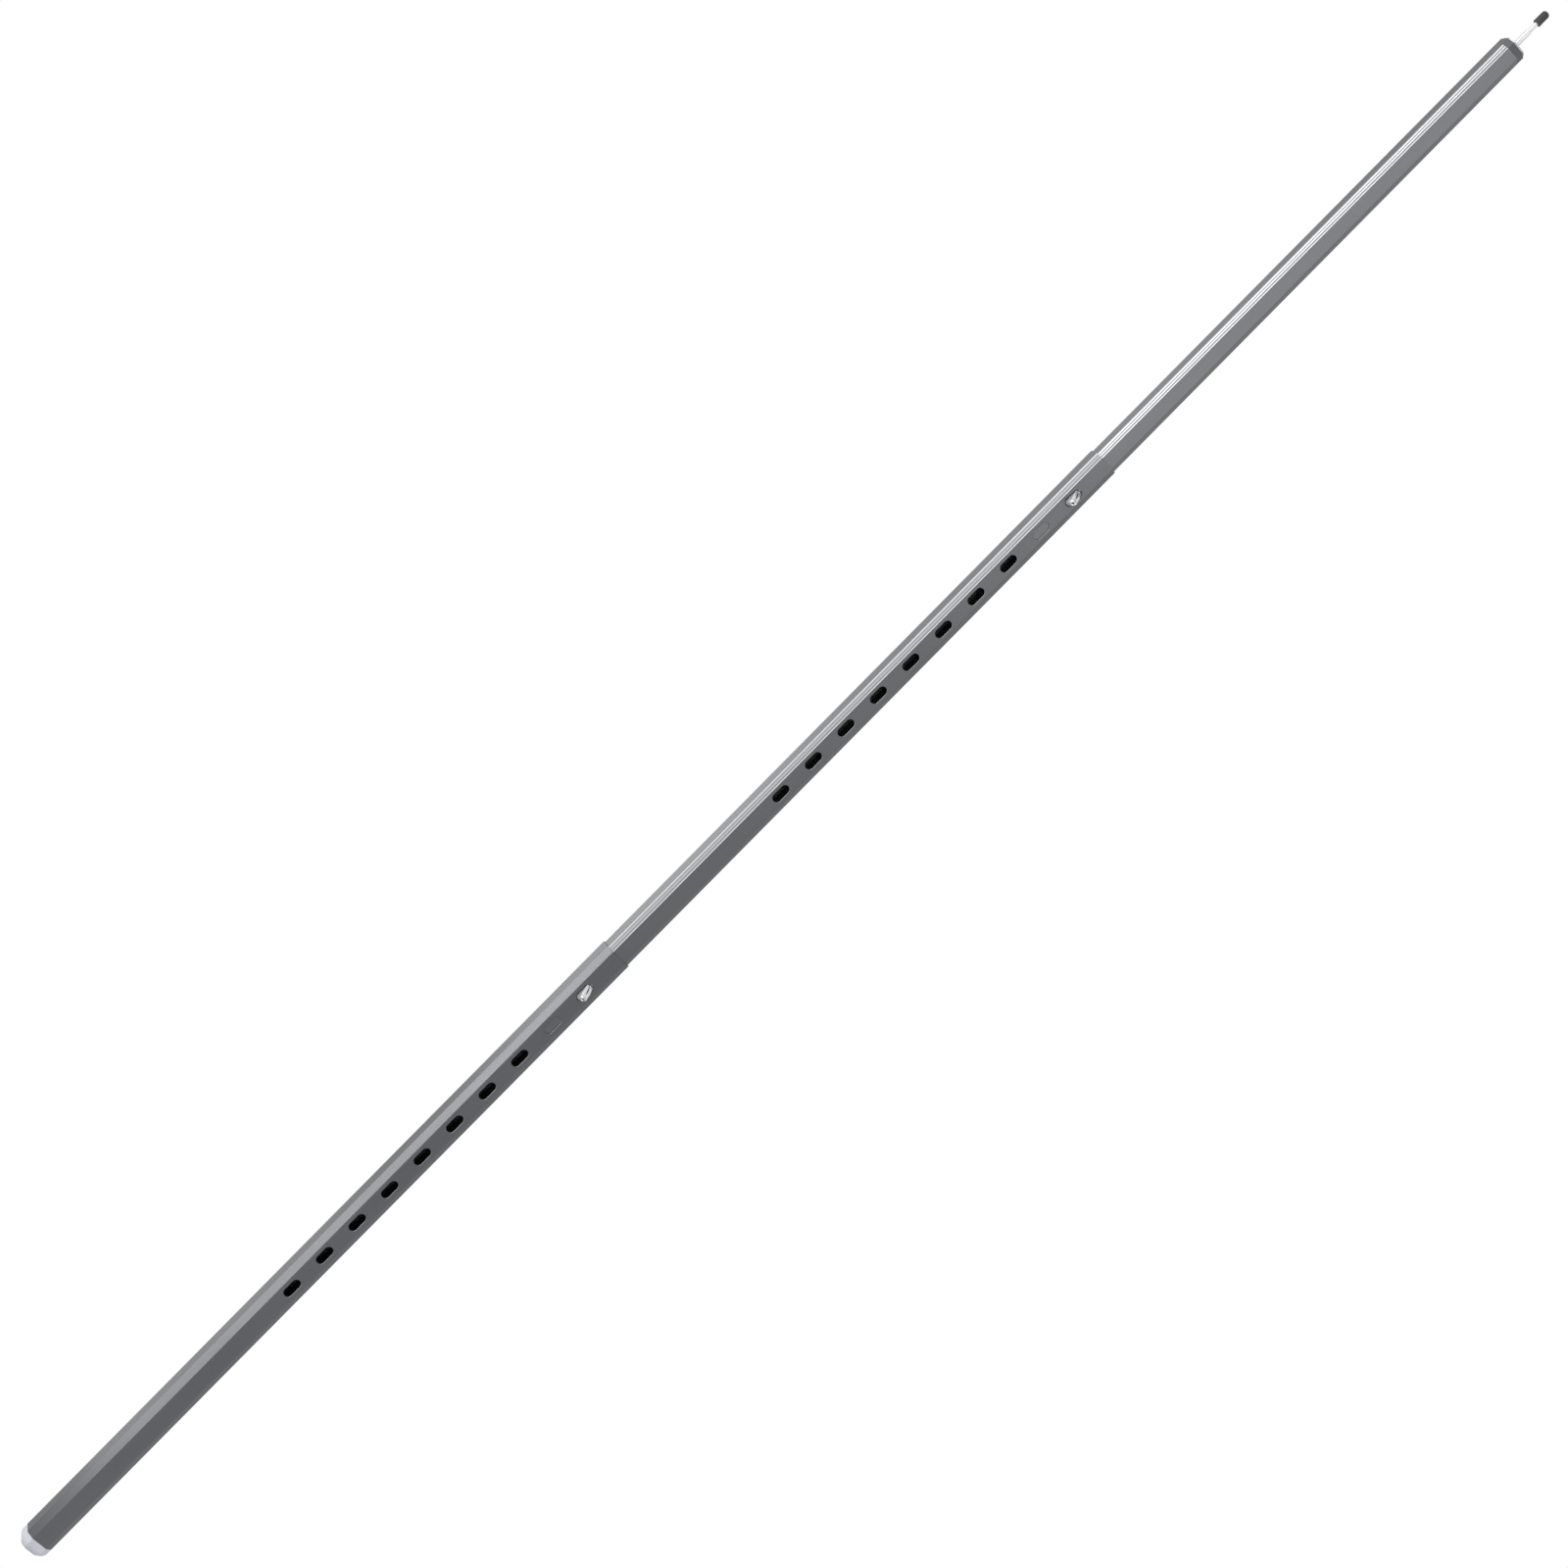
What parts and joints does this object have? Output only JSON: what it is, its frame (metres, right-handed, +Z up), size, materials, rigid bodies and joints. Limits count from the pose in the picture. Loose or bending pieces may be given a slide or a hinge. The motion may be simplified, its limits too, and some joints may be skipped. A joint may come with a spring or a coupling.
{
  "type": "telescoping awning pole",
  "caption": "Upright telescoping awning or tarp pole: nested faceted aluminium tubes with slot-and-pawl height latches, a stepped metal spike with a rubber cap on top and a moulded foot plug.",
  "frame": {"origin": "centre of the foot's flat underside", "axes": "+Z up the pole towards the spike, the slots and pawls face -Y, +X to the right of someone facing the slots"},
  "size_m": [0.0274, 0.0388, 1.8758],
  "materials": {
    "tube_lower": "satin grey anodised extrusion",
    "tube_middle": "satin grey anodised extrusion",
    "tube_upper": "satin grey anodised extrusion",
    "foot_plastic": "smooth moulded pale grey",
    "rivet": "bare",
    "nylon": "moulded",
    "steel": "ground",
    "pawl_steel": "polished pressing",
    "plug_grey": "satin dark grey",
    "tip_metal": "bare",
    "spike_steel": "bright turned",
    "rubber": "matt black"
  },
  "bodies": {
    "lower": {"lower_tube": "tube_lower", "foot_plug": "foot_plastic", "foot_rivet": "rivet"},
    "middle": {"middle_tube": "tube_middle", "middle_guide": "nylon", "middle_latch_housing": "nylon", "middle_latch_rivets": "rivet", "middle_pivot_pin": "steel", "middle_pawl_spring": "steel"},
    "middle_latch": {"middle_pawl": "pawl_steel"},
    "upper": {"upper_tube": "tube_upper", "upper_guide": "nylon", "upper_latch_housing": "nylon", "upper_latch_rivets": "rivet", "upper_pivot_pin": "steel", "upper_pawl_spring": "steel", "tip_plug": "plug_grey", "tip_plate": "tip_metal", "spike_nut": "steel", "spike_pin": "spike_steel"},
    "upper_latch": {"upper_pawl": "pawl_steel"},
    "cap": {"tip_cap": "rubber"}
  },
  "joints": [
    {"name": "middle_slide", "type": "slide", "parent": "lower", "child": "middle", "axis": [0, 0, 1], "range_m": [-0.545, 0], "deforming": ["middle_pawl"]},
    {"name": "upper_slide", "type": "slide", "parent": "middle", "child": "upper", "axis": [0, 0, 1], "range_m": [-0.49, 0], "deforming": ["upper_pawl"]},
    {"name": "middle_pawl_press", "type": "hinge", "parent": "middle", "child": "middle_latch", "pos_m": [0, -0.00875, 0.7035], "axis": [1, 0, 0], "range_deg": [0, 27], "stiffness_Nm_per_rad": 0.35, "springref_deg": -28.65, "deforming": ["middle_pawl_spring"]},
    {"name": "upper_pawl_press", "type": "hinge", "parent": "upper", "child": "upper_latch", "pos_m": [0, -0.00765, 1.305], "axis": [1, 0, 0], "range_deg": [0, 27], "stiffness_Nm_per_rad": 0.35, "springref_deg": -28.65, "deforming": ["upper_pawl_spring"]},
    {"name": "cap_pull", "type": "slide", "parent": "upper", "child": "cap", "axis": [0, 0, 1], "range_m": [0, 0.03]}
  ]
}
